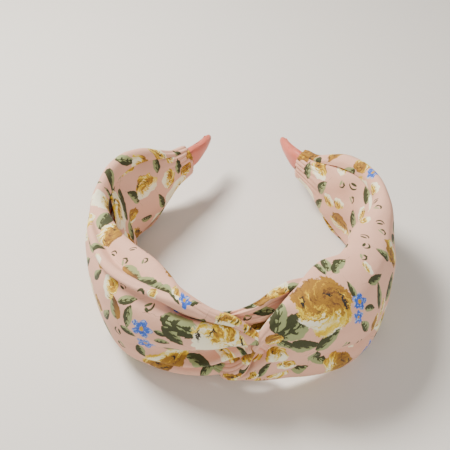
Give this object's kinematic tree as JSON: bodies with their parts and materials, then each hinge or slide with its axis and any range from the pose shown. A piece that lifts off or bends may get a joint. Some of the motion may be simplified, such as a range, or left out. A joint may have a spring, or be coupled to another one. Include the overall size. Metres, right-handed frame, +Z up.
{
  "type": "headband",
  "caption": "Sprung hoop headband covered with two linked, padded straps of printed cotton that make a twist at the crown; bare ribbon tips.",
  "frame": {"origin": "under the middle of the part's bounding box, on the surface it rests on", "axes": "+Z up with the headband lying on its lower edge, +Y from the twist at the crown towards the tips, +X to the right of someone who faces the twist from outside"},
  "size_m": [0.1492, 0.159, 0.0502],
  "materials": {
    "printed_cotton": "smooth cotton poplin with a printed floral pattern on blush pink",
    "salmon_ribbon": "satin ribbon",
    "moulded_plastic": "as moulded",
    "wadding": "soft polyester fibre",
    "sewing_thread": "spun polyester thread"
  },
  "bodies": {
    "crown": {"core_hoop": "moulded_plastic", "inner_ribbon": "salmon_ribbon", "outer_ribbon": "salmon_ribbon", "left_tack_stitch": "sewing_thread", "right_tack_stitch": "sewing_thread"},
    "left_arm": {"left_strap": "printed_cotton", "left_wadding": "wadding", "left_ribbon_tip": "salmon_ribbon", "left_mouth_stitch": "sewing_thread"},
    "right_arm": {"right_strap": "printed_cotton", "right_wadding": "wadding", "right_ribbon_tip": "salmon_ribbon", "right_mouth_stitch": "sewing_thread"}
  },
  "joints": [
    {"name": "left_flex", "type": "hinge", "parent": "crown", "child": "left_arm", "pos_m": [-0.058, -0.0381, 0.0246], "axis": [0, 0, 1], "range_deg": [-6, 20], "stiffness_Nm_per_rad": 0.6, "deforming": ["left_strap", "right_strap", "core_hoop", "inner_ribbon", "outer_ribbon"]},
    {"name": "right_flex", "type": "hinge", "parent": "crown", "child": "right_arm", "pos_m": [0.058, -0.0381, 0.0246], "axis": [0, 0, -1], "range_deg": [-6, 20], "stiffness_Nm_per_rad": 0.6, "deforming": ["right_strap", "left_strap", "core_hoop", "inner_ribbon", "outer_ribbon"]}
  ]
}
